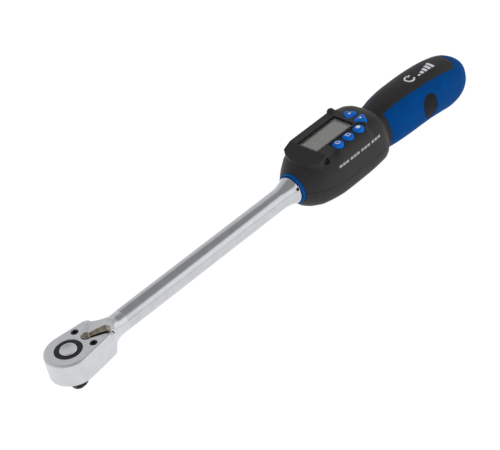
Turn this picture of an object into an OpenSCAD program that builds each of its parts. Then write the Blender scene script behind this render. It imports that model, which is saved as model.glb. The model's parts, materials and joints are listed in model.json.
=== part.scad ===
// Electronic torque wrench with a half-inch square drive ratchet head.
// Millimetres. +X runs from the head to the handle, +Z is the display side.
// The origin is on the drive axis, level with the middle of the tube.

/* [Ratchet head] */
// Radius of the round end of the head
head_r = 21.7; // [21:0.1:24]
// Half the height of the head
head_h = 11.5; // [11:0.1:12.5]
// Distance from the drive axis to the back of the head
head_back = 33.5; // [33:0.1:35]
// Width across flats of the square drive
drive_square = 12.7; // [12.5:0.1:13]
// Length of the square drive below the head
drive_len = 15.5; // [13:0.5:16.5]
// Number of teeth on the ratchet gear
gear_teeth = 48; // [36:1:60]
// Radius of the black ring around the release button
ring_r = 12; // [11.8:0.1:12.1]
// Radius of the release button
release_r = 7.9; // [7:0.1:8.5]
// Distance from the drive axis to the selector pivot
selector_x = 20; // [19.5:0.1:20.5]
// Reach of the selector lever from its pivot
selector_reach = 21; // [18:0.5:22]
// Half the angle that the selector swings through
selector_swing = 29; // [25:1:30]

/* [Tube] */
// Outer radius of the tube
tube_r = 9.9; // [9.5:0.1:10.5]
// Outer radius of the flared end
flare_r = 13.4; // [13:0.1:13.6]
// Where the flared end of the tube stops
flare_x = 269; // [268.5:0.5:269]

/* [Display housing] */
// Where the housing starts
shell_x = 271; // [270.5:0.5:271.5]
// Half the width of the housing
shell_w = 29.5; // [29:0.5:31]
// Height of the housing above the tube axis
shell_top = 28.3; // [27.5:0.1:29]
// Depth of the housing below the tube axis
shell_bottom = 25.7; // [25.5:0.1:26.5]
// Length of the display window
window_len = 43.6; // [40:0.1:44]
// Width of the display window
window_wid = 18.4; // [16:0.1:19]
// Radius of the round push buttons
button_r = 5.5; // [5.2:0.1:5.6]

/* [Handle] */
// Where the blue grip starts
grip_x = 383.5; // [382:0.5:385]
// Overall end of the handle
handle_end = 505; // [503:1:508]
// Half the width of the black strip on top of the handle
strip_w = 16.4; // [16:0.1:17]
// Where the black strip ends
strip_end = 485.5; // [483:0.5:486]

/* [Hidden] */

$fn = 64;
gap = 0.3;                            // clearance between moving pieces
eps = 0.01;                           // overshoot of a cut

// ratchet head
head_edge = 1.4;                      // chamfer around the head
head_back_w = 17.7;                   // half the width at the back
corner_r = 2.6;
gear_tip_r = 13;
gear_root_r = 12.2;
gear_bottom = -5;
gear_top = 4.5;
cavity_r = gear_tip_r + 0.6;
cover_t = 2.5;
cover_z = -head_h;
boss_r = 9.4;
ring_z = cover_z + cover_t + 0.2;     // retaining ring above the cover
square_corner_r = drive_square * 0.66;  // turned corners of the square
tip_chamfer = 1.6;
release_stem_r = 2.3;
release_travel = 2;                   // the button's groove meets the ball at the end of it
release_z = head_h + 0.6;
release_rim = 1.6;                    // thickness of the button's head
release_dish_r = 39.4;                // hollow in the top of the button
ball_r = 2.3;
ball_z = -head_h - 7.5;
ball_out = 0.8;                       // how far the ball stands out of the square
screw_x = 17.7;
screw_y = 12.2;
screw_r = 3.3;
recess_z = 8.8;                       // floor of the selector's recess
recess_end_r = 18;
recess_end_x = 28.8;
neck_arc_r = 22;
neck_end = 52;
neck_h = 10.4;
neck_pin_at = [38.9, -11.8];
neck_pin_top = 6.9;
neck_pin_r = 1;
pawl_h = 8;
pawl_in_r = gear_tip_r + 0.9;
pawl_w = 6.4;
pawl_rock = 3;                        // degrees to each side

// tube and measuring beam
tube_wall = 2.2;
tube_bore_r = tube_r - tube_wall;
flare_start = flare_x - 19;
flare_rim = 3;                        // length of the straight part of the flare
flare_pin_r = 1.5;
flare_pin_tilt = 28;                  // degrees above the horizontal, on the key side
beam_half = 6.4;
beam_end = 392;
collar_in_r = flare_r;
collar_r = 15.2;
collar_w = 4;

// housing
seam_z = -5.5;
nose_seam_z = -0.5;
shell_end = 375;                      // back face of the housing
pod_top = shell_top + 0.9;
pod_lip = [279.4, 21.2];              // lower front edge of the ledge
pod_slope_end = 295.5;
pod_shift = 0.8;                      // the ledge lies a little towards the keys
stub = [[303, -15, 27.8, 2.2], [305, -19.5, 26.6, 2.6], [303.5, -23.2, 23.5, 2.6],
    [298, -24, 21.5, 2.4]];           // x, y, z and radius along the stub
window_x = 299;
window_z = pod_top - 1.2;
button_y = -20.1;
key_flange = 0.5;                     // lip that keeps a key in the housing
button_x = [315.5, 329.2, 342.9];
rear_x = 355;
rear_y = [1.4, -12.4];
button_top = shell_top + 1.6;
cavity_top = 22.4;
board_z = 14;
board_t = 1.6;
panel_t = 1.4;
screw_seat_z = -18.8;                 // where the housing screws' heads sit
shell_screw_x = [290, 362.5];
shell_screw_y = 17.5;
door_x = [304, 358];
door_w = 15.8;
door_top = -23.8;                     // inner face of the battery door
door_pin = [305.2, -24.6];             // its hinge, on the front edge
door_gap = 0.4;
cell_r = 7.1;
cell_len = 50;
cell_y = 8.2;
cell_z = -15.2;

// handle
core_r = 12;
plug_x = 480;
strip_corner_r = 9;
pad_x = 436.5;
pad_z = -3;
pad_r = 8.2;
pad_reach = 3.8;
pad_depth_y = 16;                     // inner faces of the side pads

// Stations along the housing: x, half width, top, bottom, squareness
SHELL = [
    [shell_x, 16.3, 16, 17.4, 2],
    [273.4, 19.6, 17.6, 21, 2.1],
    [278, 22.8, 20.2, 23.6, 2.3],
    [286, 26.4, 23.8, 25.4, 2.8],
    [297, shell_w - 1, shell_top - 1.4, shell_bottom, 3.4],
    [310, shell_w, shell_top, shell_bottom, 4],
    [345, shell_w - 0.2, shell_top, shell_bottom - 0.1, 4],
    [358, shell_w - 0.6, shell_top - 0.2, shell_bottom - 0.2, 3.7],
    [366, shell_w - 1.4, shell_top - 1.1, shell_bottom - 0.6, 3.4],
    [371.5, 26.4, 25.4, 24.2, 3],
    [shell_end, 23.8, 22.6, 22.6, 2.7],
];
// Stations along the handle: x, half width, top, bottom, squareness
GRIP = [
    [shell_end, 18.4, 18, 22.2, 2.5],
    [grip_x, 20, 19.4, 24.8, 2.4],
    [396, 22.2, 21.4, 25.4, 2.4],
    [412, 23.4, 22.6, 25.8, 2.4],
    [440, 23.6, 22.4, 26.8, 2.4],
    [458, 23.2, 21.2, 29.2, 2.4],
    [470, 22.4, 19.6, 31, 2.4],
    [482, 20.8, 17, 30.4, 2.4],
    [490, 18.6, 14, 28, 2.4],
    [497, 15, 9.4, 24, 2.3],
    [502, 9.8, 3.6, 17.6, 2.2],
    [handle_end, 2.6, -4.4, 9.2, 2],
];
SIDES = 32;

// ---- shared shapes -------------------------------------------------------

// One closed ring of points: a squared ellipse in a plane of constant x
function ring_points(s) = [
    for (i = [0 : SIDES - 1])
        let (a = 360 * i / SIDES, c = cos(a), d = sin(a),
             h = (s[2] + s[3]) / 2, mid = (s[2] - s[3]) / 2, e = 2 / s[4])
        [s[0], sign(c) * s[1] * pow(abs(c), e), mid + sign(d) * h * pow(abs(d), e)]
];

// Catmull-Rom value between four stations
function spline(a, b, c, d, t) =
    0.5 * (2 * b + (c - a) * t + (2 * a - 5 * b + 4 * c - d) * t * t
        + (3 * b - a - 3 * c + d) * t * t * t);

function station(list, i, t) =
    let (n = len(list) - 1)
    concat([list[i][0] * (1 - t) + list[min(i + 1, n)][0] * t],
        [for (k = [1 : 4]) spline(list[max(i - 1, 0)][k], list[i][k],
            list[min(i + 1, n)][k], list[min(i + 2, n)][k], t)]);

// Every station with one more in between
function refined(list) = concat(
    [for (i = [0 : len(list) - 2]) for (t = [0, 0.5]) station(list, i, t)],
    [list[len(list) - 1]]);

module loft(list) {
    rows = refined(list);
    last = len(rows) - 1;
    points = [for (s = rows) each ring_points(s)];
    sides = [
        for (r = [0 : last - 1]) for (i = [0 : SIDES - 1])
            let (j = (i + 1) % SIDES, a = r * SIDES, b = a + SIDES)
            each [[a + i, b + i, b + j], [a + i, b + j, a + j]]
    ];
    front = [[for (i = [0 : SIDES - 1]) i]];
    back = [[for (i = [SIDES - 1 : -1 : 0]) last * SIDES + i]];
    polyhedron(points, concat(sides, front, back), convexity = 4);
}

module box(low, high) {
    translate(low) cube(high - low);
}

module rod(x0, x1, r) {
    translate([x0, 0, 0]) rotate([0, 90, 0]) cylinder(h = x1 - x0, r = r);
}

module post(x, y, z0, z1, r) {
    translate([x, y, z0]) cylinder(h = z1 - z0, r = r);
}

// Turns the XY plane of a flat outline into the XZ plane, extruded along Y
module side_prism(half_width) {
    rotate([90, 0, 0]) linear_extrude(2 * half_width, center = true) children();
}

// ---- ratchet head --------------------------------------------------------

module head_outline(inset = 0) {
    hull() {
        circle(r = head_r - inset);
        for (y = [-1, 1]) translate([head_back - corner_r, y * (head_back_w - corner_r)])
            circle(r = corner_r - inset, $fn = 32);
    }
}

module neck_profile() {
    steps = 12;
    start = head_back - 3;
    function reach(x) = tube_r + neck_arc_r - sqrt(pow(neck_arc_r, 2) - pow(neck_end - x, 2));
    polygon(concat([[0, start]],
        [for (i = [0 : steps]) let (x = start + (neck_end - start) * i / steps) [reach(x), x]],
        [[0, neck_end]]));
}

module neck() {
    intersection() {
        rotate([0, 90, 0]) rotate_extrude() neck_profile();
        box([head_back - 3, -head_back_w + 0.8, -neck_h], [neck_end, head_back_w - 0.8, neck_h]);
    }
}

module recess_outline() {
    intersection() {
        hull() {
            translate([selector_x, 0]) circle(r = 4.6);
            for (s = [-1, 1])
                translate([selector_x, 0]) rotate(s * 31) translate([30, 0]) circle(r = 3.3);
        }
        union() {
            translate([recess_end_x, 0]) circle(r = recess_end_r);
            translate([selector_x, 0]) circle(r = 4.6);
        }
    }
}

module pawl_pocket() {
    translate([8, -pawl_w - 1.6, gear_bottom])
        cube([selector_x - 8, 2 * (pawl_w + 1.6), gear_top - gear_bottom]);
    post(selector_x, 0, gear_bottom, gear_top, 5);
}

module cover_outline(inset = 0) {
    hull() {
        circle(r = 17.5 - inset);
        for (y = [-1, 1]) translate([screw_x, y * screw_y]) circle(r = 3.6 - inset, $fn = 32);
    }
}

module head_housing() {
    color("lightgray") difference() {
        union() {
            hull() {
                translate([0, 0, -head_h + head_edge])
                    linear_extrude(2 * (head_h - head_edge)) head_outline();
                translate([0, 0, -head_h]) linear_extrude(2 * head_h) head_outline(head_edge);
            }
            neck();
        }
        translate([0, 0, recess_z]) linear_extrude(head_h) recess_outline();
        post(0, 0, cover_z - eps, gear_top, cavity_r);
        post(0, 0, gear_top - eps, head_h + eps, ring_r + gap);
        pawl_pocket();
        translate([0, 0, cover_z - eps]) linear_extrude(cover_t + eps) cover_outline(-0.1);
        post(selector_x, 0, gear_top - eps, recess_z + eps, 2.5 + gap);
        for (y = [-1, 1]) {
            post(screw_x, y * screw_y, cover_z, head_h, 1.75);
            post(screw_x, y * screw_y, head_h - 3.2, head_h + eps, screw_r + 0.05);
        }
        post(neck_pin_at[0], neck_pin_at[1], 2, neck_h + eps, neck_pin_r);
        rod(44, neck_end + eps, tube_bore_r - 1);
    }
}

module head_cover() {
    color("gainsboro") difference() {
        translate([0, 0, cover_z]) linear_extrude(cover_t) cover_outline();
        post(0, 0, cover_z - eps, cover_z + cover_t + eps, boss_r + gap);
        for (y = [-1, 1])
            post(screw_x, y * screw_y, cover_z - eps, cover_z + cover_t + eps, 1.5);
    }
}

module cover_screws() {
    color([0.12, 0.12, 0.13]) for (y = [-1, 1]) difference() {
        union() {
            post(screw_x, y * screw_y, cover_z + 0.1, head_h - 3, 1.5);
            post(screw_x, y * screw_y, head_h - 3.1, head_h - 0.3, screw_r - 0.05);
        }
        translate([screw_x, y * screw_y, head_h - 2]) cylinder(h = 2, r = 1.7, $fn = 6);
    }
}

module neck_pin() {
    color("dimgray") post(neck_pin_at[0], neck_pin_at[1], 2.1, neck_pin_top, neck_pin_r - 0.05);
}

module gear_outline() {
    step = 360 / gear_teeth;
    polygon([
        for (i = [0 : gear_teeth - 1]) each [
            gear_root_r * [cos(i * step), sin(i * step)],
            gear_tip_r * [cos((i + 0.4) * step), sin((i + 0.4) * step)],
            gear_tip_r * [cos((i + 0.6) * step), sin((i + 0.6) * step)],
        ]
    ]);
}

module drive_anvil() {
    square_end = -head_h - drive_len;
    color([0.16, 0.16, 0.17]) difference() {
        union() {
            translate([0, 0, gear_bottom + gap])
                linear_extrude(gear_top - gear_bottom - 2 * gap) gear_outline();
            post(0, 0, gear_top - gap - eps, head_h - 2.2, ring_r - 0.6);
            post(0, 0, -head_h - 0.6, gear_bottom + gap + eps, boss_r);
            intersection() {
                translate([-drive_square / 2, -drive_square / 2, square_end])
                    cube([drive_square, drive_square, drive_len]);
                rotate_extrude() polygon([[0, square_end], [square_corner_r - tip_chamfer, square_end],
                    [square_corner_r, square_end + tip_chamfer], [square_corner_r, eps - head_h],
                    [0, eps - head_h]]);
            }
        }
        post(0, 0, ball_z - 4, head_h, release_stem_r + 2 * gap);
        post(0, 0, 3, head_h, release_r - 1.6);
        post(0, 0, head_h - release_rim - release_travel - 1, head_h, release_r + gap);
        translate([0, 0, ball_z]) rotate([0, 90, 0])
            cylinder(h = drive_square, r = ball_r + gap);
        translate([0, 0, ring_z - 0.1]) rotate_extrude()
            translate([boss_r - 1, 0]) square([2, 1.2]);
    }
}

module drive_ring() {
    color([0.07, 0.07, 0.08]) translate([0, 0, head_h - 2.2]) rotate_extrude() {
        translate([release_r + gap, 0]) square([ring_r - release_r - gap, 1.9]);
    }
}

module retaining_ring() {
    color("silver") translate([0, 0, ring_z]) difference() {
        cylinder(h = 1, r = boss_r + 1.4);
        translate([0, 0, -eps]) cylinder(h = 2, r = boss_r - 1);
        translate([-30, -2.2, -eps]) cube([30, 4.4, 2]);
    }
}

module release_button() {
    color("gainsboro") difference() {
        union() {
            translate([0, 0, release_z - release_rim]) rotate_extrude() polygon([
                [0, 0], [release_r - 0.1, 0], [release_r - 0.1, release_rim - 0.6],
                [release_r - 0.7, release_rim], [0, release_rim]]);
            post(0, 0, ball_z - 1.7, release_z - release_rim + eps, release_stem_r);
        }
        translate([0, 0, release_z + release_dish_r - 0.5]) sphere(r = release_dish_r, $fn = 96);
        translate([0, 0, ball_z + release_travel]) rotate_extrude()
            translate([ball_r + 1, 0]) circle(r = ball_r - 0.1);
    }
}

module release_spring() {
    color("silver") for (i = [0 : 2])
        translate([0, 0, 3.6 + i * 1.5]) rotate_extrude() translate([4.6, 0]) circle(r = 0.5, $fn = 16);
}

module socket_ball() {
    color("silver") translate([drive_square / 2 + ball_out - ball_r, 0, ball_z]) sphere(r = ball_r);
}

module pawl_shape() {
    difference() {
        union() {
            translate([selector_x, 0]) circle(r = 4);
            translate([10, -pawl_w]) square([selector_x - 10, 2 * pawl_w]);
        }
        circle(r = pawl_in_r);
        translate([selector_x, 0]) circle(r = 1.5 + gap);
        for (s = [-1, 1]) translate([selector_x + 1.6, s * 6.8]) circle(r = 3.6);
    }
}

module pawl() {
    color("darkgray")
        translate([selector_x, 0, -pawl_h / 2 - 0.25]) rotate(-pawl_rock) translate([-selector_x, 0, 0])
            linear_extrude(pawl_h) pawl_shape();
}

module pawl_pin() {
    color("silver") post(selector_x, 0, gear_bottom, gear_top, 1.5);
}

module pawl_spring() {
    color("silver") translate([selector_x, 0, gear_top - 0.35]) rotate_extrude()
        translate([2.6, 0]) circle(r = 0.25, $fn = 16);
}

// Selector lever in its own frame: pivot at the origin, arm along +X
module lever_arm() {
    hull() {
        post(3, 0, 0, 2.6, 2.6);
        post(selector_reach - 3.1, 0, 0, 3, 3.1);
        post(8, 0, 0, 4.9, 1);
        post(selector_reach - 3.4, 0, 0, 5.9, 1.3);
    }
    hull() {
        post(0, 0, 0, 2.8, 4);
        post(0, 0, 0, 4.2, 2.4);
    }
}

module selector_lever() {
    color([0.62, 0.58, 0.52]) difference() {
        union() {
            translate([selector_x, 0, recess_z + gap]) rotate(-selector_swing) lever_arm();
            post(selector_x, 0, gear_top + 0.4, recess_z + gap + eps, 2.5);
        }
        translate([selector_x, 0, 0]) rotate(-selector_swing)
            post(12, 0, 0, recess_z + gap + 2, 1.1);
    }
}

module selector_plunger() {
    color("silver") translate([selector_x, 0, recess_z + gap + 0.9]) rotate(-selector_swing)
        translate([12, 0, 0]) sphere(r = 0.9);
}

// ---- tube, beam and collar ----------------------------------------------

// Places its children along the pin, with their Z pointing outwards
module on_flare_pin() {
    translate([flare_x - flare_rim, 0, 0]) rotate([90 - flare_pin_tilt, 0, 0]) children();
}

// Half section of the flare: it widens faster and faster up to a short straight rim
module flare_profile() {
    steps = 10;
    length = flare_x - flare_start - flare_rim;
    rim = flare_r - 0.2;
    polygon(concat([[0, flare_start]],
        [for (i = [0 : steps]) let (t = i / steps)
            [tube_r + (rim - tube_r) * t * t, flare_start + length * t]],
        [[rim, flare_x], [0, flare_x]]));
}

module tube() {
    color("gainsboro") difference() {
        union() {
            rod(neck_end, flare_start, tube_r);
            rotate([0, 90, 0]) rotate_extrude() flare_profile();
            rod(flare_x - eps, flare_x + 20, tube_r + 1);
        }
        rod(neck_end - eps, flare_x + 21, tube_bore_r);
        on_flare_pin() cylinder(h = 30, r = flare_pin_r);
    }
    // spigot inside the head
    color("gainsboro") difference() {
        rod(44.5, neck_end + 6, tube_bore_r - 1.2);
        rod(44, neck_end + 7, tube_bore_r - 3);
    }
}

module flare_pin() {
    color("dimgray") on_flare_pin() translate([0, 0, tube_bore_r + 0.2])
        cylinder(h = 2.8, r = flare_pin_r - 0.1);
}

module beam() {
    color("lightsteelblue") difference() {
        union() {
            rod(flare_x - 20, flare_x + 19, tube_bore_r - 0.05);
            box([flare_x + 20.1, -beam_half, -beam_half], [beam_end, beam_half, beam_half]);
            rod(flare_x + 18, flare_x + 20.2, 6);
        }
        for (y = [-1, 1])
            box([306, y * 10 - 5.6, -7], [334, y * 10 + 5.6, 7]);
        on_flare_pin() translate([0, 0, 4]) cylinder(h = 10, r = flare_pin_r);
    }
}

module strain_gauges() {
    color("orange") for (x = [312, 324]) for (s = [-1, 1])
        translate([x, s * 4.6 - 0.2, -2.5]) cube([7, 0.4, 5]);
}

module collar_ring() {
    color([0.05, 0.32, 0.68]) translate([flare_x - 0.5, 0, 0]) rotate([0, 90, 0]) difference() {
        cylinder(h = collar_w, r = collar_r);
        translate([0, 0, -eps]) cylinder(h = 0.5 + 2 * eps, r = collar_in_r);
        translate([0, 0, 0.5]) cylinder(h = collar_w, r = tube_r + 1.05);
    }
}

// ---- display housing -----------------------------------------------------

// Everything above the seam, seen from the side
module upper_region() {
    polygon([[250, nose_seam_z], [275, nose_seam_z], [304, seam_z], [400, seam_z],
        [400, 60], [250, 60]]);
}

module lower_region() {
    polygon([[250, nose_seam_z], [275, nose_seam_z], [304, seam_z], [400, seam_z],
        [400, -60], [250, -60]]);
}

// Raised front ledge around the display
module pod_outline() {
    arc_r = 34.6;
    intersection() {
        translate([pod_lip[0] + arc_r, 0]) circle(r = arc_r, $fn = 128);
        hull() for (s = [-1, 1]) {
            translate([pod_lip[0], s * 22.4 - pod_shift]) circle(r = 0.1, $fn = 16);
            translate([349, s * 17.3 - pod_shift]) circle(r = 5);
        }
    }
}

module pod_side() {
    polygon([pod_lip, pod_lip + [0.2, 1.4], [pod_slope_end, pod_top], [354, pod_top],
        [354, 15], [290, 15]]);
}

module pod() {
    intersection() {
        linear_extrude(pod_top) pod_outline();
        side_prism(40) pod_side();
    }
}

// Rounded bar beyond the display, and the curved stub in front of the keys
module display_guard() {
    hull() for (p = [[296, 19, 2], [347, 19.8, 2.2], [351, 20.6, 3.8]])
        translate([p[0], p[1], shell_top - 1.4]) sphere(r = p[2], $fn = 24);
    for (i = [0 : 2]) hull() for (p = [stub[i], stub[i + 1]])
        translate([p[0], p[1], p[2]]) sphere(r = p[3], $fn = 24);
}

// Room for the beam, the electronics, the cells and the rear keys
module housing_cavity() {
    box([285, -12.5, -15], [366, 12.5, 15]);
    box([300, -22, -21.5], [356, 22, cavity_top]);
    box([303, -16, -22.6], [359, 16, 0]);
    box([350, -19, 10], [362, 19, cavity_top]);
    rod(shell_x - 1, 300, 14);
    rod(355, 380, core_r + 0.02);
}

module at_shell_screws() {
    for (x = shell_screw_x) for (y = [-1, 1]) translate([x, y * shell_screw_y, 0]) children();
}

module shell_screw_holes() {
    at_shell_screws() {
        post(0, 0, screw_seat_z - eps, 6.2, 1.3);
        post(0, 0, -40, screw_seat_z, 2.4);
    }
}

module collar_seat() {
    rod(shell_x - 3, shell_x + 1.6, collar_r + 0.05);
}

module rear_key(x, y, r_corner, reach) {
    translate([x, y]) hull() for (a = [0, 120, 240]) rotate(a + 180)
        translate([reach, 0]) circle(r = r_corner, $fn = 32);
}

module key_holes() {
    for (x = button_x) {
        post(x, button_y, cavity_top - 1, pod_top + 2, button_r + gap);
        post(x, button_y, cavity_top - 5, cavity_top - 0.6, button_r + key_flange + gap);
    }
    for (y = rear_y) translate([0, 0, cavity_top - 1]) linear_extrude(12)
        rear_key(rear_x, y, 2.8 + gap, 3.2);
}

module window_opening() {
    box([window_x, -window_wid / 2, cavity_top - 1],
        [window_x + window_len, window_wid / 2, pod_top + 3]);
}

module shell_upper() {
    color([0.17, 0.17, 0.18]) difference() {
        intersection() {
            union() {
                loft(SHELL);
                pod();
                display_guard();
            }
            side_prism(40) upper_region();
        }
        housing_cavity();
        collar_seat();
        key_holes();
        shell_screw_holes();
        window_opening();
        box([window_x - 3.2, -window_wid / 2 - 3.2, window_z - 1.8],
            [window_x + window_len + 3.2, window_wid / 2 + 3.2, pod_top + 3]);
    }
}

module door_cut(grow) {
    box([door_x[0] - grow, -door_w - grow, -shell_bottom - 2],
        [door_x[1] + grow, door_w + grow, door_top + grow]);
}

module shell_lower() {
    color([0.15, 0.15, 0.16]) difference() {
        intersection() {
            loft(SHELL);
            side_prism(40) lower_region();
        }
        housing_cavity();
        collar_seat();
        door_cut(door_gap);
        box([door_x[0] + 1, -door_w, door_top - 0.2], [door_x[1] - 1, door_w, -21]);
        shell_screw_holes();
    }
}

module window_frame_cut(inset) {
    box([window_x - 3.1 + inset, -window_wid / 2 - 3.1 + inset, window_z - 1.8],
        [window_x + window_len + 3.1 - inset, window_wid / 2 + 3.1 - inset, window_z - 0.4]);
}

module window_lens() {
    color([0.7, 0.72, 0.7, 0.5]) window_frame_cut(0);
}

module behind_window(inset, z0, z1) {
    box([window_x + inset, inset - window_wid / 2, z0],
        [window_x + window_len - inset, window_wid / 2 - inset, z1]);
}

module display_panel() {
    top = window_z - 1.9;
    color([0.6, 0.6, 0.55]) behind_window(0.2, top - panel_t, top);
}

module backlight() {
    color("white") behind_window(1, board_z + board_t, window_z - 1.9 - panel_t);
}

module circuit_board() {
    color("darkgreen") difference() {
        union() {
            box([302, -21.5, board_z], [355.5, 21.5, board_z + board_t]);
            box([350.5, -18.5, board_z], [361.5, 18.5, board_z + board_t]);
        }
        for (x = [305, 352]) for (y = [-1, 1]) post(x, y * 18, board_z - 1, board_z + 3, 1.4);
    }
}

module buzzer() {
    color("black") post(352, -4, board_z - 5, board_z - eps, 5.5);
}

module round_key(x) {
    color([0.04, 0.33, 0.72]) translate([x, button_y, 0]) rotate_extrude() polygon([
        [0, cavity_top - 3.4], [button_r + key_flange, cavity_top - 3.4], [button_r + key_flange, cavity_top - 1.5],
        [button_r, cavity_top - 1.5], [button_r, button_top - 2.6],
        for (i = [0 : 6]) let (a = i * 15)
            [button_r * cos(a), button_top - 2.6 + 2.6 * sin(a)]]);
}

module shaped_key(y) {
    color([0.04, 0.33, 0.72]) hull() {
        translate([0, 0, cavity_top - 1.5]) linear_extrude(button_top - cavity_top - 0.6)
            rear_key(rear_x, y, 2.8, 3.2);
        translate([0, 0, cavity_top - 1.5]) linear_extrude(button_top - cavity_top + 1.3)
            rear_key(rear_x, y, 1.6, 2.2);
    }
}

module button_power() { round_key(button_x[0]); }
module button_mode() { round_key(button_x[1]); }
module button_units() { round_key(button_x[2]); }
module button_up() { shaped_key(rear_y[0]); }
module button_down() { shaped_key(rear_y[1]); }

module key_mat() {
    color([0.3, 0.3, 0.32]) {
        box([button_x[0] - 6, button_y - 1.2, board_z + board_t],
            [button_x[2] + 6, button_y + 4, cavity_top - 5.2]);
        box([rear_x - 4.4, rear_y[1] - 5, board_z + board_t],
            [rear_x + 6, rear_y[0] + 5, cavity_top - 3.2]);
    }
}

module shell_screws() {
    color("dimgray") at_shell_screws() difference() {
        union() {
            post(0, 0, screw_seat_z - 2, screw_seat_z, 2.3);
            post(0, 0, screw_seat_z - eps, 6, 1.2);
        }
        translate([0, 0, screw_seat_z - 2 - eps]) cylinder(h = 1.4, r = 1.2, $fn = 6);
    }
}

module battery_door() {
    color([0.12, 0.12, 0.13]) {
        intersection() {
            loft(SHELL);
            box([door_pin[0], -door_w, -40], [door_x[1], door_w, door_top]);
        }
        translate([door_pin[0], 0, door_pin[1]]) rotate([90, 0, 0])
            cylinder(h = 2 * door_w, r = door_top - door_pin[1], center = true);
    }
}

module battery_cells() {
    color("goldenrod") for (y = [-1, 1]) {
        translate([306, y * cell_y, cell_z]) rotate([0, 90, 0]) cylinder(h = cell_len - 1.2, r = cell_r);
        translate([306 + cell_len - 1.2, y * cell_y, cell_z]) rotate([0, 90, 0])
            cylinder(h = 1.2, r = 2.7);
    }
}

module battery_contacts() {
    color("silver") for (y = [-1, 1]) {
        translate([304.4, y * cell_y - 5, cell_z - 5]) cube([0.6, 10, 10]);
        translate([305.4, y * cell_y, cell_z]) rotate([0, 90, 0]) rotate_extrude()
            translate([3, 0]) circle(r = 0.35, $fn = 16);
        translate([357.4, y * cell_y - 5, cell_z - 5]) cube([0.6, 10, 10]);
    }
}

// ---- handle --------------------------------------------------------------

module handle_core() {
    color([0.1, 0.1, 0.1]) difference() {
        rod(368, plug_x, core_r);
        box([360, -beam_half - 0.1, -beam_half - 0.1], [beam_end + 0.1, beam_half + 0.1, beam_half + 0.1]);
        rod(beam_end + 2, plug_x + 1, 8);
    }
}

// Plan outline of the strip: it widens slowly and has a blunt rounded end
module strip_outline() {
    hull() {
        for (s = [[grip_x - 10, strip_w - 5.4], [grip_x, strip_w - 4.6], [403, strip_w - 2.6],
            [435, strip_w - 0.6]])
            translate([s[0], -s[1]]) square([0.1, 2 * s[1]]);
        for (y = [-1, 1]) translate([strip_end - strip_corner_r, y * (strip_w - strip_corner_r)])
            circle(r = strip_corner_r);
    }
}

module strip_region() {
    translate([0, 0, 2]) linear_extrude(40) strip_outline();
}

// Oval on each side of the handle
module pad_region(grow = 0) {
    difference() {
        side_prism(40) translate([pad_x, pad_z]) hull() for (z = [-1, 1])
            translate([0, z * pad_reach]) circle(r = pad_r + grow);
        box([400, -pad_depth_y, -40], [470, pad_depth_y, 40]);
    }
}

module handle_body() {
    difference() {
        loft(GRIP);
        rod(360, plug_x + 4, core_r + 0.02);
    }
}

module grip_black() {
    color([0.13, 0.13, 0.14]) intersection() {
        handle_body();
        union() {
            box([360, -40, -40], [grip_x, 40, 40]);
            strip_region();
        }
    }
}

module grip_blue() {
    color([0.0, 0.27, 0.62]) difference() {
        handle_body();
        box([360, -40, -40], [grip_x, 40, 40]);
        strip_region();
        pad_region();
    }
}

module grip_pads() {
    color([0.13, 0.13, 0.14]) intersection() {
        loft(GRIP);
        pad_region(-0.02);
    }
}

module end_plug() {
    color("dimgray") rod(plug_x, plug_x + 3.9, core_r - 0.02);
}

head_housing();
head_cover();
cover_screws();
neck_pin();
drive_anvil();
drive_ring();
retaining_ring();
release_button();
release_spring();
socket_ball();
pawl();
pawl_pin();
pawl_spring();
selector_lever();
selector_plunger();
tube();
flare_pin();
beam();
strain_gauges();
collar_ring();
shell_upper();
shell_lower();
window_lens();
display_panel();
backlight();
circuit_board();
buzzer();
button_power();
button_mode();
button_units();
button_up();
button_down();
key_mat();
shell_screws();
battery_door();
battery_cells();
battery_contacts();
handle_core();
grip_black();
grip_blue();
grip_pads();
end_plug();
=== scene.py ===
import json
import math

import bmesh
import bpy
from mathutils import Matrix, Vector


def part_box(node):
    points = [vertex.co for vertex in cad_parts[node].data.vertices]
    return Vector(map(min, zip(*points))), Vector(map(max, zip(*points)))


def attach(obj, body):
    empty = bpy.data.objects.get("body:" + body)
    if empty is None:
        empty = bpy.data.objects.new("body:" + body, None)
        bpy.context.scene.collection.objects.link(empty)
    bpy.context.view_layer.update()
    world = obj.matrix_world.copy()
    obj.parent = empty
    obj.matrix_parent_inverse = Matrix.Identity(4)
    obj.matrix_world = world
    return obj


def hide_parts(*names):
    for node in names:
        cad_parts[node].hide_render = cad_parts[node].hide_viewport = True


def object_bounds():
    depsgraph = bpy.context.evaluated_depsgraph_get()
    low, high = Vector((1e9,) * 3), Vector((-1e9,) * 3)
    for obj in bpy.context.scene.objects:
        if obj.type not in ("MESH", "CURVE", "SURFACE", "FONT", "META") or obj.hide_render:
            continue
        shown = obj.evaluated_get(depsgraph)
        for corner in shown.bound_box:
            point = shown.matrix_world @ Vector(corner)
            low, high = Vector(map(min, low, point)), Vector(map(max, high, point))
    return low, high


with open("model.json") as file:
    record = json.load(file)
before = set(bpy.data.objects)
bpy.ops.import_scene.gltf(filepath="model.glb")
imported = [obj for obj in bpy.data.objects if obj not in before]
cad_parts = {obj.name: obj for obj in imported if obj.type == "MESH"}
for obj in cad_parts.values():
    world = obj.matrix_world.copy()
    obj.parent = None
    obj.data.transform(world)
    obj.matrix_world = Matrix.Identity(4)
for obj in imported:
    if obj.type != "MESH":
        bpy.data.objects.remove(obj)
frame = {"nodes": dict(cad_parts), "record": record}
cad_low, cad_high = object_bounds()
nodes = frame["nodes"]
scene = bpy.context.scene
MM = 0.001

# ---- driving sizes, in millimetres, as in the CAD model ----------------------

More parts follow.
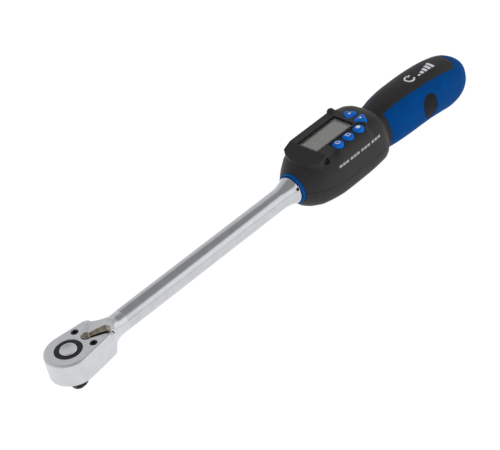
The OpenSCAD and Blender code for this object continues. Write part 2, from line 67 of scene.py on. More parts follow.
PARTS = {name: [[c / MM for c in corner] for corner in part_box(name)] for name in nodes}
SHELL = [  # housing stations: x, half width, top, bottom, squareness
    [271, 16.3, 16, 17.4, 2],
    [273.4, 19.6, 17.6, 21, 2.1],
    [278, 22.8, 20.2, 23.6, 2.3],
    [286, 26.4, 23.8, 25.4, 2.8],
    [297, 28.5, 26.9, 25.7, 3.4],
    [310, 29.5, 28.3, 25.7, 4],
    [345, 29.3, 28.3, 25.6, 4],
    [358, 28.9, 28.1, 25.5, 3.7],
    [366, 28.1, 27.2, 25.1, 3.4],
    [371.5, 26.4, 25.4, 24.2, 3],
    [375, 23.8, 22.6, 22.6, 2.7],
]
GRIP = [  # handle stations, in the same order
    [375, 18.4, 18, 22.2, 2.5],
    [383.5, 20, 19.4, 24.8, 2.4],
    [396, 22.2, 21.4, 25.4, 2.4],
    [412, 23.4, 22.6, 25.8, 2.4],
    [440, 23.6, 22.4, 26.8, 2.4],
    [458, 23.2, 21.2, 29.2, 2.4],
    [470, 22.4, 19.6, 31, 2.4],
    [482, 20.8, 17, 30.4, 2.4],
    [490, 18.6, 14, 28, 2.4],
    [497, 15, 9.4, 24, 2.3],
    [502, 9.8, 3.6, 17.6, 2.2],
    [505, 2.6, -4.4, 9.2, 2],
]
GRIP_X = 383.5                      # where the blue grip starts
STRIP_W, STRIP_END = 16.4, 485.5    # half width and end of the black strip
PAD = (435.8, -3, 9.1, 3.6)         # x, z, radius and half length of the side pads
PAD_IN = 16                         # inner faces of the pads
CORE_R = 12.02                      # hole for the handle's core
TUBE_R = 9.9
BAND_Z = -17                        # below this the housing's side steps in
BAND_STEP = 0.6
SEAM = [(250, -0.5), (275, -0.5), (304, -5.5), (400, -5.5)]   # x and z of the joint between the shells
POD_TOP = 29.2                      # the ledge around the display
POD_CORNER_X, POD_CORNER_Y, POD_CORNER_R = 349, 17.3, 5
POD_SHIFT = 0.8                     # the ledge's rear corners lie this far towards -Y
POD_LIP = (279.4, 21.2)             # x and z of its front lip
POD_FRONT_R = 34.6                  # and the radius of the lip in plan
POD_FRONT_X = POD_LIP[0] + POD_FRONT_R
RAIL_Z = 26.9
STUB = [((297, -13, 27.8), 2), ((303, -15, 28.3), 2.4), ((305, -19.5, 27.3), 2.8),
        ((303.8, -23.4, 24), 2.8), ((298, -24.3, 21.5), 2.4)]
WINDOW = PARTS["window_lens"]
WINDOW_RIM = 3.1                    # the window's edge under the housing
ROUND_KEYS = ["button_power", "button_mode", "button_units"]
REAR_KEYS = ["button_up", "button_down"]
REAR_KEY_X = 355
REAR_REACH, REAR_R = 3.6, 3.2       # rear keys: centre to corner circles, and their radius
KEY_R, KEY_TOP, KEY_DOME = 5.5, 29.9, 2.6
KEY_FLANGE, KEY_FOOT, FLANGE_TOP = 0.5, 19, 20.9
KEY_GAP = 0.3                       # between a key and its hole
SCREW_X, SCREW_Y, SCREW_HOLE_R, SCREW_SEAT = (290, 362.5), 17.5, 2.4, -18.8
SIGN = (26, 34)                     # heights that the key signs' prisms run between
INK = 0.07                          # how far ink stands out of a lofted surface
BODY_OF_KEY = dict(zip(ROUND_KEYS + REAR_KEYS, ["key_power", "key_mode", "key_units", "key_up", "key_down"]))


def middle_of(node):
    """Plan position of a node's middle."""
    low, high = PARTS[node]
    return (low[0] + high[0]) / 2, (low[1] + high[1]) / 2


# ---- mesh tools --------------------------------------------------------------

def add(name, mesh):
    piece = bpy.data.objects.new(name, mesh)
    scene.collection.objects.link(piece)
    return piece


def from_points(name, points, faces):
    """A mesh piece from points in millimetres."""
    mesh = bpy.data.meshes.new(name)
    mesh.from_pydata([[c * MM for c in p] for p in points], [], faces)
    shape = bmesh.new()
    shape.from_mesh(mesh)
    bmesh.ops.recalc_face_normals(shape, faces=shape.faces)
    shape.to_mesh(mesh)
    shape.free()
    return add(name, mesh)


def bake(piece):
    """Applies the piece's modifiers."""
    bpy.context.view_layer.update()
    seen = piece.evaluated_get(bpy.context.evaluated_depsgraph_get())
    mesh = bpy.data.meshes.new_from_object(seen)
    piece.modifiers.clear()
    piece.data = mesh
    return piece


def combine(piece, others, how):
    for other in others:
        step = piece.modifiers.new(how, "BOOLEAN")
        step.operation = how
        step.object = other
        step.solver = "MANIFOLD"
        bake(piece)
        bpy.data.objects.remove(other)
    return piece


def cut(piece, *others):
    return combine(piece, others, "DIFFERENCE")


def join(piece, *others):
    return combine(piece, others, "UNION")


def keep(piece, *others):
    return combine(piece, others, "INTERSECT")


def smooth_shading(piece, angle=None):
    piece.data.polygons.foreach_set("use_smooth", [True] * len(piece.data.polygons))
    if angle is not None:
        piece.data.set_sharp_from_angle(angle=math.radians(angle))
    return piece


def soften(piece, voxel, passes, share=1.0):
    """Rebuilds the piece at one mesh size, rounds its edges as moulding or polishing does."""
    step = piece.modifiers.new("remesh", "REMESH")
    step.mode = "VOXEL"
    step.voxel_size = voxel * MM
    step = piece.modifiers.new("smooth", "SMOOTH")
    step.factor = 0.5
    step.iterations = passes
    if share < 1:
        step = piece.modifiers.new("thin", "DECIMATE")
        step.ratio = share
    return smooth_shading(bake(piece))


def copy_of(node, name):
    """A closed copy of a CAD node's mesh."""
    piece = add(name, nodes[node].data.copy())
    piece.data.materials.clear()
    shape = bmesh.new()
    shape.from_mesh(piece.data)
    bmesh.ops.remove_doubles(shape, verts=shape.verts, dist=1e-6)
    shape.to_mesh(piece.data)
    shape.free()
    return piece


def prism(name, outline, low, high, plane="xy"):
    """An outline, extruded between two heights along the axis that it doesn't use."""
    n = len(outline)
    place = {"xy": lambda a, b, h: (a, b, h), "xz": lambda a, b, h: (a, h, b)}[plane]
    points = [place(a, b, h) for h in (low, high) for a, b in outline]
    sides = [[i, (i + 1) % n, n + (i + 1) % n, n + i] for i in range(n)]
    return from_points(name, points, sides + [list(range(n)), list(range(2 * n - 1, n - 1, -1))])


def arc(cx, cy, r, start, end, steps):
    return [(cx + r * math.cos(math.radians(start + (end - start) * i / steps)),
             cy + r * math.sin(math.radians(start + (end - start) * i / steps))) for i in range(steps + 1)]


def ring_faces(rings, n):
    """Faces between rings of n points each, with a flat cap on the first and on the last."""
    faces = [[k * n + i, k * n + (i + 1) % n, (k + 1) * n + (i + 1) % n, (k + 1) * n + i]
             for k in range(rings - 1) for i in range(n)]
    return faces + [list(range(n)), [(rings - 1) * n + i for i in range(n)]]


def stack(name, rings):
    """A solid through closed plan outlines with equal numbers of points, each at its height."""
    points = [(a, b, z) for outline, z in rings for a, b in outline]
    return from_points(name, points, ring_faces(len(rings), len(rings[0][0])))


def together(name, pieces):
    """Several separate solids as one mesh."""
    shape = bmesh.new()
    for piece in pieces:
        shape.from_mesh(piece.data)
        bpy.data.objects.remove(piece)
    mesh = bpy.data.meshes.new(name)
    shape.to_mesh(mesh)
    shape.free()
    return add(name, mesh)


def block(low, high):
    (x0, y0, z0), (x1, y1, z1) = low, high
    return prism("block", [(x0, y0), (x1, y0), (x1, y1), (x0, y1)], z0, z1)


def turned(name, profile, centre=(0, 0), sides=96):
    """A solid of revolution about a vertical line, through rings of given radius and height."""
    points = [
        (centre[0] + r * math.cos(2 * math.pi * i / sides),
         centre[1] + r * math.sin(2 * math.pi * i / sides), z)
        for r, z in profile for i in range(sides)
    ]
    return from_points(name, points, ring_faces(len(profile), sides))


def post(x, y, z0, z1, r):
    return turned("post", [(r, z0), (r, z1)], (x, y))


def rod(x0, x1, r):
    """A cylinder along the tool's axis."""
    piece = turned("rod", [(r, x0), (r, x1)])
    piece.data.transform(Matrix.Rotation(math.pi / 2, 4, "Y"))
    return piece


def ball(centre, r):
    shape = bmesh.new()
    bmesh.ops.create_icosphere(shape, subdivisions=4, radius=r * MM)
    mesh = bpy.data.meshes.new("ball")
    shape.to_mesh(mesh)
    shape.free()
    mesh.transform(Matrix.Translation(Vector(centre) * MM))
    return add("ball", mesh)


def bar(points):
    """A round bar through balls of given centres and radii, as one convex stretch after another."""
    whole = None
    for a, b in zip(points, points[1:]):
        shape = bmesh.new()
        for centre, r in (a, b):
            made = bmesh.ops.create_icosphere(shape, subdivisions=4, radius=r * MM)
            bmesh.ops.translate(shape, verts=made["verts"], vec=Vector(centre) * MM)
        hull = bmesh.ops.convex_hull(shape, input=shape.verts)
        inside = [g for g in hull["geom_interior"] if isinstance(g, bmesh.types.BMVert)]
        bmesh.ops.delete(shape, geom=inside, context="VERTS")
        mesh = bpy.data.meshes.new("bar")
        shape.to_mesh(mesh)
        shape.free()
        stretch = add("bar", mesh)
        whole = stretch if whole is None else join(whole, stretch)
    return whole


# ---- lofted bodies -----------------------------------------------------------

def spline(a, b, c, d, t):
    """Catmull-Rom value between b and c."""
    return 0.5 * (2 * b + (c - a) * t + (2 * a - 5 * b + 4 * c - d) * t ** 2
                  + (3 * b - a - 3 * c + d) * t ** 3)


def stations_between(stations, spacing):
    """The stations, with smooth rows added between them about every spacing millimetres."""
    last = len(stations) - 1
    rows = []
    for i in range(last):
        around = [stations[max(i - 1, 0)], stations[i], stations[i + 1], stations[min(i + 2, last)]]
        count = max(2, round((stations[i + 1][0] - stations[i][0]) / spacing))
        for k in range(count):
            t = k / count
            x = stations[i][0] * (1 - t) + stations[i + 1][0] * t
            rows.append([x] + [spline(*[s[m] for s in around], t) for m in range(1, 5)])
    return rows + [stations[last]]


def loft(name, stations, inset=0.0, spacing=1.0, sides=192):
    """A body of squarish oval sections along the tool's axis, smooth through the stations."""
    rows = stations_between(stations, spacing)
    points = []
    for x, width, top, bottom, square in rows:
        half, middle = (top + bottom) / 2 - inset, (top - bottom) / 2
        power = 2 / square
        for i in range(sides):
            c, s = math.cos(2 * math.pi * i / sides), math.sin(2 * math.pi * i / sides)
            y = math.copysign(abs(c) ** power, c) * (width - inset)
            z = middle + math.copysign(abs(s) ** power, s) * half
            points.append((x, y, z))
    return from_points(name, points, ring_faces(len(rows), sides))


# ---- materials ---------------------------------------------------------------

class Shader:
    """A Principled material with helpers for its procedural layers."""

    def __init__(self, name, **sockets):
        self.material = bpy.data.materials.new(name)
        self.material.use_nodes = True
        self.tree = self.material.node_tree
        self.main = self.tree.nodes["Principled BSDF"]
        for socket, value in sockets.items():
            self.main.inputs[socket.replace("_", " ")].default_value = value
        place = self.tree.nodes.new("ShaderNodeTexCoord")
        self.place = place.outputs["Object"]

    def node(self, kind, **inputs):
        made = self.tree.nodes.new("ShaderNode" + kind)
        for key, value in inputs.items():
            socket = made.inputs[int(key[1:]) if key[0] == "i" and key[1:].isdigit() else key]
            if isinstance(value, bpy.types.NodeSocket):
                self.tree.links.new(value, socket)
            else:
                socket.default_value = value
        return made

    def noise(self, size, detail=3, roughness=0.5, stretch=(1, 1, 1)):
        """Noise whose features are about size millimetres, drawn out by stretch."""
        scaled = self.node("Mapping", Vector=self.place, Scale=[1 / (size * MM * s) for s in stretch])
        made = self.node("TexNoise", Vector=scaled.outputs[0], Scale=1.0, Detail=detail,
                         Roughness=roughness)
        return made.outputs["Fac"]

    def ramp(self, value, low, high, to_low=0.0, to_high=1.0):
        made = self.node("MapRange", Value=value)
        for key, number in (("From Min", low), ("From Max", high), ("To Min", to_low), ("To Max", to_high)):
            made.inputs[key].default_value = number
        return made.outputs[0]

    def mix(self, share, a, b):
        made = self.tree.nodes.new("ShaderNodeMix")
        made.data_type = "RGBA"
        for key, value in ((0, share), (6, a), (7, b)):
            if isinstance(value, bpy.types.NodeSocket):
                self.tree.links.new(value, made.inputs[key])
            else:
                made.inputs[key].default_value = value
        return made.outputs[2]

    def color(self, value):
        self.tree.links.new(value, self.main.inputs["Base Color"])

    def roughness(self, value):
        self.tree.links.new(value, self.main.inputs["Roughness"])

    def bump(self, *layers):
        """Each layer is a height and its depth in millimetres."""
        last = None
        for height, depth in layers:
            made = self.node("Bump", Height=height, Strength=1.0, Distance=depth * MM)
            if last is not None:
                self.tree.links.new(last, made.inputs["Normal"])
            last = made.outputs[0]
        self.tree.links.new(last, self.main.inputs["Normal"])

    def edges(self, low=0.52, high=0.62):
        """From 0 on flat stretches to 1 on outer edges."""
        geometry = self.node("NewGeometry")
        return self.ramp(geometry.outputs["Pointiness"], low, high)


def rgb(r, g, b):
    return (r, g, b, 1.0)


def satin_metal(name, base, rough, lines_along_x=False, smooth_end=None):
    """Plated or polished steel with a little mottling and fine polishing lines.

    smooth_end is an x range, in millimetres, over which the finish turns smoother."""
    s = Shader(name, Metallic=1.0)
    cloudy = s.noise(9, 4)
    dark = rgb(*[c * 0.93 for c in base])
    s.color(s.mix(s.ramp(cloudy, 0.35, 0.65), dark, rgb(*base)))
    fine = s.noise(0.5, 3, 0.6)
    both = s.node("Math", i0=fine, i1=cloudy).outputs[0]
    rough_part = s.ramp(both, 0.6, 1.4, rough - 0.04, rough + 0.05)
    if smooth_end:
        x = s.node("SeparateXYZ", Vector=s.place).outputs[0]
        share = s.ramp(x, smooth_end[0] * MM, smooth_end[1] * MM)
        smooth_part = s.ramp(both, 0.6, 1.4, 0.13, 0.19)
        rough_part = s.node("Mix", i0=share, i2=rough_part, i3=smooth_part).outputs[0]
    s.roughness(rough_part)
    stretch = (60, 1, 1) if lines_along_x else (1, 1, 1)
    s.bump((s.noise(0.22, 4, 0.6, stretch), 0.003), (s.noise(4, 3), 0.006))
    return s.material


def smoky_chrome(name):
    """Dark plated zinc, with its ridges painted bright as a painted highlight."""
    s = Shader(name, Metallic=1.0)
    cloudy = s.noise(3, 3)
    body = s.mix(s.ramp(cloudy, 0.35, 0.65), rgb(0.14, 0.12, 0.095), rgb(0.30, 0.26, 0.21))
    # painted highlight: the ridges, found by pointiness, are painted a bright warm tone
    s.color(s.mix(s.edges(0.505, 0.545), body, rgb(0.86, 0.78, 0.66)))
    s.roughness(s.ramp(cloudy, 0.3, 0.7, 0.07, 0.14))
    s.bump((s.noise(0.4, 3), 0.002))
    return s.material


def moulded(name, base, rough, grain=0.35, depth=0.03, rim_highlight_lift=1.35, specular=0.3):
    """Moulded plastic or rubber: fine surface grain, slight colour clouds, and outer edges painted lighter
    as a painted rim highlight.
    """
    s = Shader(name, Specular_IOR_Level=specular)
    clouds = s.noise(14, 4)
    tone = s.mix(s.ramp(clouds, 0.3, 0.7), rgb(*[c * 0.88 for c in base]), rgb(*[c * 1.1 for c in base]))
    # painted highlight: outer edges, found by pointiness, are painted lighter than the body
    s.color(s.mix(s.edges(), tone, rgb(*[min(1, c * rim_highlight_lift + 0.002) for c in base])))
    fine = s.noise(grain, 2, 0.6)
    mixed = s.node("Math", i0=fine, i1=clouds).outputs[0]
    s.roughness(s.ramp(mixed, 0.7, 1.3, rough - 0.06, rough + 0.06))
    s.bump((fine, depth), (s.noise(6, 2), 0.02))
    return s.material


def clear_window():
    s = Shader("window", Transmission_Weight=1.0, IOR=1.46, Base_Color=rgb(0.93, 0.93, 0.91))
    s.roughness(s.ramp(s.noise(6, 3), 0.3, 0.7, 0.03, 0.07))
    return s.material


def blank_display():
    """A switched-off display: grey-beige film with a faint weave."""
    s = Shader("display", Specular_IOR_Level=0.5)
    clouds = s.ramp(s.noise(20, 2), 0.3, 0.7)
    base = s.mix(clouds, rgb(0.300, 0.292, 0.272), rgb(0.330, 0.322, 0.302))
    weave = s.ramp(s.noise(0.4, 1), 0.3, 0.7)
    s.color(s.mix(weave, base, rgb(0.345, 0.336, 0.315)))
    s.roughness(s.ramp(weave, 0, 1, 0.35, 0.45))
    s.bump((weave, 0.002))
    return s.material


MATERIALS = {
    "head_chrome": satin_metal("satin_chrome_head", (0.625, 0.64, 0.66), 0.30, smooth_end=(36, 50)),
    "tube_chrome": satin_metal("satin_chrome_tube", (0.575, 0.59, 0.61), 0.16, lines_along_x=True),
    "button_chrome": satin_metal("bright_chrome", (0.62, 0.63, 0.64), 0.22),
    "lever_chrome": smoky_chrome("smoky_chrome"),
    "black_steel": satin_metal("black_oxide", (0.030, 0.030, 0.032), 0.40),
    "black_ring": moulded("ring_black", (0.010, 0.010, 0.011), 0.48, specular=0.25),
    "spring_steel": satin_metal("spring_steel", (0.56, 0.56, 0.57), 0.22),
    "beam_steel": satin_metal("ground_steel", (0.50, 0.51, 0.53), 0.30, lines_along_x=True),
    "gauge_foil": moulded("gauge_film", (0.62, 0.30, 0.06), 0.30),
    "blue_ring": moulded("blue_ring", (0.0, 0.075, 0.30), 0.42, depth=0.01, specular=0.06),
    "housing_black": moulded("housing_plastic", (0.0135, 0.013, 0.0145), 0.50),
    "window_clear": clear_window(),
    "display_grey": blank_display(),
    "backlight_white": moulded("diffuser", (0.75, 0.75, 0.72), 0.40),
    "board_green": moulded("solder_mask", (0.012, 0.12, 0.04), 0.35),
    "button_blue": moulded("key_blue", (0.0, 0.125, 0.53), 0.38, grain=0.25, depth=0.006, specular=0.12),
    "mat_grey": moulded("silicone", (0.10, 0.10, 0.11), 0.60),
    "cell_jacket": moulded("cell_jacket", (0.50, 0.34, 0.06), 0.30, depth=0.004),
    "core_black": moulded("core_plastic", (0.020, 0.020, 0.020), 0.50),
    "grip_black": moulded("grip_black", (0.0125, 0.0125, 0.013), 0.58, grain=0.28),
    "grip_blue": moulded("grip_blue", (0.0, 0.055, 0.225), 0.62, grain=0.28, depth=0.02, specular=0.03),
}
PAD_RUBBER = moulded("pad_rubber", (0.0085, 0.0065, 0.0105), 0.65, grain=0.5, specular=0.15)
PRINT_GREY = moulded("print_grey", (0.34, 0.35, 0.37), 0.55, grain=0.8, depth=0.002)
PRINT_WHITE = moulded("print_white", (0.72, 0.74, 0.78), 0.50, grain=0.8, depth=0.002)

# every CAD node gets the material of its slot
for part in frame["record"]["subparts"]:
    made = nodes[part["node"]].data.materials
    made.clear()
    made.append(MATERIALS[part["material_slot"]])


def finish_piece(piece, slot, body, *replaced, material=None):
    """Gives a piece its material, its body and the CAD nodes that it stands for."""
    piece.data.materials.clear()
    piece.data.materials.append(material or MATERIALS[slot])
    if replaced:
        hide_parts(*replaced)
    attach(piece, body)
    return piece


# ---- housing -----------------------------------------------------------------

def pod():
    """The raised ledge around the display: its plan outline met with its side profile."""
    x, y, r = POD_CORNER_X, POD_CORNER_Y, POD_CORNER_R
    front = arc(POD_FRONT_X, 0, POD_FRONT_R, 142, 222, 48)
    corners = arc(x, -y - POD_SHIFT, r, -90, 0, 8) + arc(x, y - POD_SHIFT, r, 0, 90, 8)
    plan = prism("pod_plan", front + corners, 14, POD_TOP)
    slope_end, rear = 295.5, x + r
    side = [POD_LIP, (POD_LIP[0] + 0.2, POD_LIP[1] + 1.4), (slope_end, POD_TOP), (rear, POD_TOP),
            (rear, 15), (290, 15)]
    return keep(plan, prism("pod_side", side, -40, 40, "xz"))


def guards():
    """Round bar and ball along the far side of the display, and the curved stub in front of the keys."""
    rail = bar([((296, 19, RAIL_Z), 2), ((346, 19.8, RAIL_Z), 2.2)])
    return rail, ball((350, 20.3, RAIL_Z + 0.9), 4), bar(STUB)


def key_deck():
    """The squarer shoulder that the near keys stand in."""
    deck = loft("key_deck", [[304, 29.2, 26.6, 20, 4], [311, 29.4, 28, 20, 6.4], [346, 29.3, 28, 20, 6.4],
                             [354, 28.8, 26.6, 20, 4]])
    return keep(deck, block((304, -40, 15), (354, -14, 40)))


def lip_bead():
    """The fine raised edge along the front of the display ledge."""
    edge = arc(POD_FRONT_X, 0, POD_FRONT_R, 148, 212, 20)
    return bar([((x, y, POD_LIP[1] + 0.7), 0.8) for x, y in edge])


def region(top):
    """All the space above the joint between the shells, or below it."""
    far = 60 if top else -60
    return prism("region", SEAM + [(400, far), (250, far)], -40, 40, "xz")


def cavities():
    """The inside that both shells share."""
    return [
        block((285, -12.5, -15), (366, 12.5, 15)),      # along the beam
        block((300, -22, -21.5), (356, 22, 22.4)),      # board and cells
        block((303, -16, -22.6), (359, 16, 0)),         # down to the battery door
        block((350, -19, 10), (362, 19, 22.4)),         # under the rear keys
        rod(270, 300, 14),                              # end of the tube
        rod(355, 380, CORE_R),
        rod(268, 272.6, 15.25),                         # seat of the collar
    ]


def rounded_triangle(centre, reach, r):
    """Plan outline of a rear key: the far one points away from the near keys, the near one to them."""
    x, y = centre
    first = 90 if y > -5 else 30
    return [point for a in (first, first + 120, first + 240)
            for point in arc(x + reach * math.cos(math.radians(a)), y + reach * math.sin(math.radians(a)),
                             r, a - 60, a + 60, 10)]


def upper_shell():
    """Top of the housing, open at the window and the keys."""
    shell = join(loft("upper_case", SHELL), pod(), key_deck(), lip_bead(), *guards())
    keep(shell, region(True))
    cut(shell, *cavities())
    for key in ROUND_KEYS:
        x, y = middle_of(key)
        cut(shell, post(x, y, 17.4, 21.8, KEY_R + KEY_FLANGE + KEY_GAP), post(x, y, 21, 34, KEY_R + KEY_GAP))
    for key in REAR_KEYS:
        outline = rounded_triangle((REAR_KEY_X, middle_of(key)[1]), REAR_REACH, REAR_R + KEY_GAP)
        cut(shell, prism("hole", outline, 21, 34))
    # the sunk strip that the near keys stand in
    cut(shell, block((308.4, -40, 27.6), (350.4, -14.4, 40)))
    (x0, y0, z0), (x1, y1, _) = WINDOW
    cut(shell, block((x0 + WINDOW_RIM, y0 + WINDOW_RIM, 21), (x1 - WINDOW_RIM, y1 - WINDOW_RIM, 34)))
    cut(shell, block((x0 - 0.1, y0 - 0.1, z0), (x1 + 0.1, y1 + 0.1, 34)))
    # groove along the far side of the window, and the hollow under the stub
    cut(shell, bar([((297, 15.9, 30), 1.7), ((344, 16.2, 30), 1.7)]), ball((295.8, -22.8, 22.3), 3))
    return soften(shell, 0.36, 4, 0.5)


def lower_shell():
    """Bottom of the housing: it steps in below the band, and is open at the door and the screws."""
    shell = loft("lower_case", SHELL)
    keep(shell, prism("side", [(250, BAND_Z), (400, BAND_Z), (400, 60), (250, 60)], -40, 40, "xz"))
    join(shell, keep(loft("sole", SHELL, inset=BAND_STEP), block((250, -40, -40), (400, 40, BAND_Z + 1))))
    keep(shell, region(False))
    cut(shell, *cavities())
    cut(shell, block((303.6, -16.2, -40), (358.4, 16.2, -23.4)))
    cut(shell, block((305, -15.8, -24), (357, 15.8, -21)))
    for x in SCREW_X:
        for y in (-SCREW_Y, SCREW_Y):
            cut(shell, post(x, y, -40, SCREW_SEAT, SCREW_HOLE_R))
    return soften(shell, 0.36, 4, 0.5)


finish_piece(upper_shell(), "housing_black", "wrench", "shell_upper")
finish_piece(lower_shell(), "housing_black", "wrench", "shell_lower")


# ---- handle ------------------------------------------------------------------

def strip_prism():
    """Plan of the black strip: it widens slowly and has a blunt rounded end."""
    half = [(360, STRIP_W - 5.4), (GRIP_X - 10, STRIP_W - 5.4), (GRIP_X, STRIP_W - 4.6),
            (403, STRIP_W - 2.6), (435, STRIP_W - 0.6)]
    r = 9
    end = arc(STRIP_END - r, r - STRIP_W, r, -90, 0, 16) + arc(STRIP_END - r, STRIP_W - r, r, 0, 90, 16)
    return prism("strip", [(x, -w) for x, w in half] + end + [(x, w) for x, w in reversed(half)], 2, 42)


def pad_prism(grow=0.0):
    """Both side pads' ovals, from outside the handle to their inner faces."""
    x, z, r, half = PAD
    outline = arc(x, z + half, r + grow, 0, 180, 24) + arc(x, z - half, r + grow, 180, 360, 24)
    return cut(prism("pad", outline, -40, 40, "xz"), block((400, -PAD_IN, -45), (470, PAD_IN, 45)))


def grip_solid(name):
    """The whole handle around its core."""
    return cut(loft(name, GRIP), rod(360, 484, CORE_R))


black = grip_solid("strip_grip")
keep(black, join(block((360, -40, -40), (GRIP_X, 40, 40)), strip_prism()))
finish_piece(soften(black, 0.4, 3, 0.5), "grip_black", "wrench", "grip_black")

blue = grip_solid("blue_grip_cover")
cut(blue, block((360, -40, -40), (GRIP_X, 40, 40)), strip_prism(), pad_prism())
finish_piece(soften(blue, 0.4, 3, 0.5), "grip_blue", "wrench", "grip_blue")

inlay = keep(loft("pad_inlays", GRIP, inset=0.3), pad_prism(-0.12))
finish_piece(soften(inlay, 0.3, 4), "grip_black", "wrench", "grip_pads", material=PAD_RUBBER)


def printed(name, marks, skin, under, body, material):
    """Ink on a surface: the marks' prisms, kept between the surface and a skin just outside it."""
    ink = cut(keep(together(name, marks), skin), under)
    return finish_piece(ink, "backlight_white", body, material=material)


def turn_arrow(x, y, r, width):
    """Three quarters of a ring with an arrowhead: the sign for turning."""
    ring = arc(x, y, r + width / 2, 60, 330, 32) + arc(x, y, r - width / 2, 330, 60, 32)
    tip = [(x + r * 0.5 - 2.4, y + r * 0.87 + 1.6), (x + r * 0.5 - 1.4, y + r * 0.87 - 2.4),
           (x + r * 0.5 + 2.6, y + r * 0.87 - 0.6)]
    return [prism("ring", ring, 5, 40), prism("tip", tip, 5, 40)]


def rising_bars(x, y, count, pitch, width, reach):
    """A row of bars from a common foot, each longer than the last: the sign for a growing load."""
    return [block((x + i * pitch, y, 5), (x + i * pitch + width, y + reach * (i + 1) / count, 40))
            for i in range(count)]


def side_dashes(count, group):
    """A plain row of dashes along the side of the housing, in groups."""
    start, pitch, gap, length, foot, top = 304.5, 4.3, 1.6, 3.4, 11.2, 13.6
    dashes = []
    for i in range(count):
        x = start + i * pitch + (i // group) * gap
        outline = [(x, foot), (x + length, foot), (x + length, top), (x, top)]
        dashes.append(prism("dash", outline, -40, -20, "xz"))
    return dashes


printed("handle_sign", turn_arrow(434, -2.5, 4.6, 1.8) + rising_bars(442.5, -7, 5, 4.9, 3.2, 9),
        loft("skin", GRIP, inset=-INK), loft("under", GRIP, inset=-0.01), "wrench", PRINT_WHITE)
printed("scale_ticks", side_dashes(12, 3),
        loft("skin", SHELL, inset=-INK), loft("under", SHELL, inset=-0.01), "wrench", PRINT_GREY)


# ---- head, tube and small parts ----------------------------------------------

def ratchet_head():
    """The forging, run on over the start of the tube so that no joint shows."""
    sleeve = cut(rod(46, 58, TUBE_R + 0.03), rod(45, 59, TUBE_R - 0.4))
    return soften(join(copy_of("head_housing", "ratchet_head"), sleeve), 0.32, 6)


finish_piece(ratchet_head(), "head_chrome", "wrench", "head_housing")
SOFT_PARTS = [  # node, piece, slot, body, mesh size, smoothing passes
    ("head_cover", "head_base_plate", "head_chrome", "wrench", 0.25, 3),
    ("selector_lever", "reversing_lever", "lever_chrome", "selector", 0.13, 9),
    ("collar_ring", "blue_collar", "blue_ring", "wrench", 0.16, 3),
]
for node, name, slot, body, voxel, passes in SOFT_PARTS:
    finish_piece(soften(copy_of(node, name), voxel, passes), slot, body, node)


def battery_cover():
    """The door with finger ribs near its free edge."""
    ribs = [bar([((x, -7, -25.6), 0.45), ((x, 7, -25.6), 0.45)]) for x in (344, 347, 350, 353)]
    return soften(join(copy_of("battery_door", "battery_cover"), *ribs), 0.25, 3)


finish_piece(battery_cover(), "housing_black", "door", "battery_door")


# ---- keys --------------------------------------------------------------------

def dome(name, centre, grow=0.0):
    """A round key: flange, straight side and domed top, whose surface grows by a given distance."""
    flange = KEY_R + KEY_FLANGE
    curve = []
    for a in range(0, 88, 6):
        c, s = math.cos(math.radians(a)), math.sin(math.radians(a))
        curve.append((KEY_R * c + grow, KEY_TOP - KEY_DOME + (KEY_DOME + grow) * s))
    foot = [(flange, KEY_FOOT), (flange, FLANGE_TOP), (KEY_R, FLANGE_TOP)]
    return turned(name, foot + curve, centre, 72)


def rear_cap(name, centre, grow=0.0):
    """A rounded triangular key with a crowned top."""
    levels = [(REAR_REACH, REAR_R, FLANGE_TOP), (REAR_REACH, REAR_R, 28.2), (3.5, 3.05, 28.8),
              (3.2, 2.75, 29.3), (2.6, 2.3, 29.65), (1.6, 1.5, 29.85), (0.6, 0.6, KEY_TOP)]
    return stack(name, [(rounded_triangle(centre, reach + grow, r), z + grow) for reach, r, z in levels])


def power_sign(x, y):
    ring = arc(x, y, 2.3, 125, 415, 28) + arc(x, y, 1.65, 415, 125, 28)
    low, high = SIGN
    return [prism("ring", ring, *SIGN), block((x - 0.33, y + 0.6, low), (x + 0.33, y + 2.9, high))]


def frame_sign(x, y):
    low, high = SIGN
    bars = [((-2, -2), (2, -1.4)), ((-2, 1.4), (2, 2)),
            ((-2, -1.39), (-1.4, 1.39)), ((1.4, -1.39), (2, 1.39))]
    return [block((x + a, y + b, low), (x + c, y + d, high)) for (a, b), (c, d) in bars]


def dot_sign(x, y):
    return [prism("dot", arc(x, y, 2.1, 0, 355, 40), *SIGN)]


def arrow_sign(x, y, way):
    """A small triangle that points along Y, one way or the other."""
    return [prism("arrow", [(x - 1.7, y - 1.1 * way), (x + 1.7, y - 1.1 * way), (x, y + 1.5 * way)], *SIGN)]


KEY_SIGNS = [
    ("button_power", dome, power_sign), ("button_mode", dome, frame_sign), ("button_units", dome, dot_sign),
    ("button_up", rear_cap, lambda x, y: arrow_sign(x, y, 1)),
    ("button_down", rear_cap, lambda x, y: arrow_sign(x, y, -1)),
]
for key, cap, sign in KEY_SIGNS:
    at = middle_of(key) if cap is dome else (REAR_KEY_X, middle_of(key)[1])
    body = BODY_OF_KEY[key]
    finish_piece(smooth_shading(cap(key + "_cap", at), 50), "button_blue", body, key)
    printed(key + "_sign", sign(*at), cap("skin", at, 0.06), cap("under", at, 0.008), body, PRINT_WHITE)


# the CAD nodes that stay get a fine bevel and smooth shading
for name, thing in nodes.items():
    if not thing.hide_render:
        weld = thing.modifiers.new("weld", "WELD")
        weld.merge_threshold = 1e-6
        bevel = thing.modifiers.new("bevel", "BEVEL")
        bevel.width = 0.15 * MM
        bevel.segments = 2
        bevel.limit_method = "ANGLE"
        bevel.angle_limit = math.radians(35)
        bevel.harden_normals = True


# ---- stage -------------------------------------------------------------------

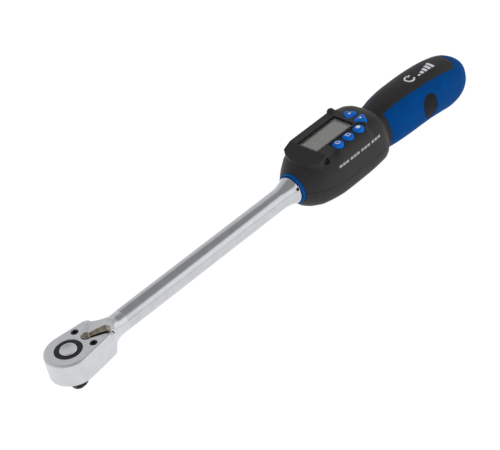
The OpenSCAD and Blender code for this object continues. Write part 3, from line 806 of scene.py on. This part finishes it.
def floor():
    size = 6
    z = cad_low.z / MM - 0.4
    piece = from_points("floor", [(x * size / MM, y * size / MM, z) for x, y in
                                  ((-1, -1), (1, -1), (1, 1), (-1, 1))], [[0, 1, 2, 3]])
    s = Shader("floor_white", Base_Color=rgb(0.08, 0.08, 0.08), Roughness=0.9, Emission_Strength=0.97,
               Emission_Color=rgb(1, 1, 1))
    s.roughness(s.ramp(s.noise(300, 2), 0.3, 0.7, 0.85, 0.95))
    piece.data.materials.append(s.material)


def softbox(name, towards, distance, width, height, radiance, glossy=True):
    """A rectangular lamp that faces the middle of the tool."""
    middle = (cad_low + cad_high) / 2
    way = Vector(towards).normalized()
    light = bpy.data.lights.new(name, "AREA")
    light.shape = "RECTANGLE"
    light.size, light.size_y = width, height
    light.energy = radiance * width * height * math.pi
    lamp = add(name, light)
    lamp.location = middle + way * distance
    lamp.rotation_mode = "QUATERNION"
    lamp.rotation_quaternion = (-way).to_track_quat("-Z", "Y")
    lamp.visible_glossy = glossy
    lamp.visible_camera = False


def surroundings():
    """A studio that is bright low down and darker overhead."""
    world = bpy.data.worlds.new("studio")
    world.use_nodes = True
    tree = world.node_tree
    place = tree.nodes.new("ShaderNodeTexCoord")
    split = tree.nodes.new("ShaderNodeSeparateXYZ")
    ramp = tree.nodes.new("ShaderNodeValToRGB")
    tree.links.new(place.outputs["Generated"], split.inputs[0])
    tree.links.new(split.outputs[2], ramp.inputs[0])
    tree.links.new(ramp.outputs[0], tree.nodes["Background"].inputs[0])
    stops = [(0.0, 0.72), (0.56, 0.82), (0.77, 0.60), (0.85, 0.36), (1.0, 0.37)]
    ramp.color_ramp.elements[0].position, ramp.color_ramp.elements[1].position = 0.0, 1.0
    for position, _ in stops[1:-1]:
        ramp.color_ramp.elements.new(position)
    for element, (position, value) in zip(ramp.color_ramp.elements, stops):
        element.position = position
        element.color = rgb(value, value, value * 1.02)
    scene.world = world


floor()
surroundings()
softbox("front_box", (0.49, -0.74, 0.48), 1.6, 2.6, 1.3, 0.38)
softbox("fill", (-0.5, -0.9, 1.4), 2.2, 1.6, 1.6, 0.7, glossy=False)

# the camera stands where it does for the photo, as found by fitting known points of the tool
camera = add("camera", bpy.data.cameras.new("camera"))
camera.data.sensor_width = 36
camera.data.lens = 129.6
camera.data.clip_start, camera.data.clip_end = 0.05, 50
right = Vector((0.68911, -0.70069, -0.18480))
up = Vector((0.53358, 0.31808, 0.78366))
back = right.cross(up)
turned_to = Matrix((right, up, back)).transposed().to_4x4()
camera.matrix_world = Matrix.Translation((-0.56836, -1.01795, 0.94210)) @ turned_to
scene.camera = camera
scene.view_settings.view_transform = "Standard"
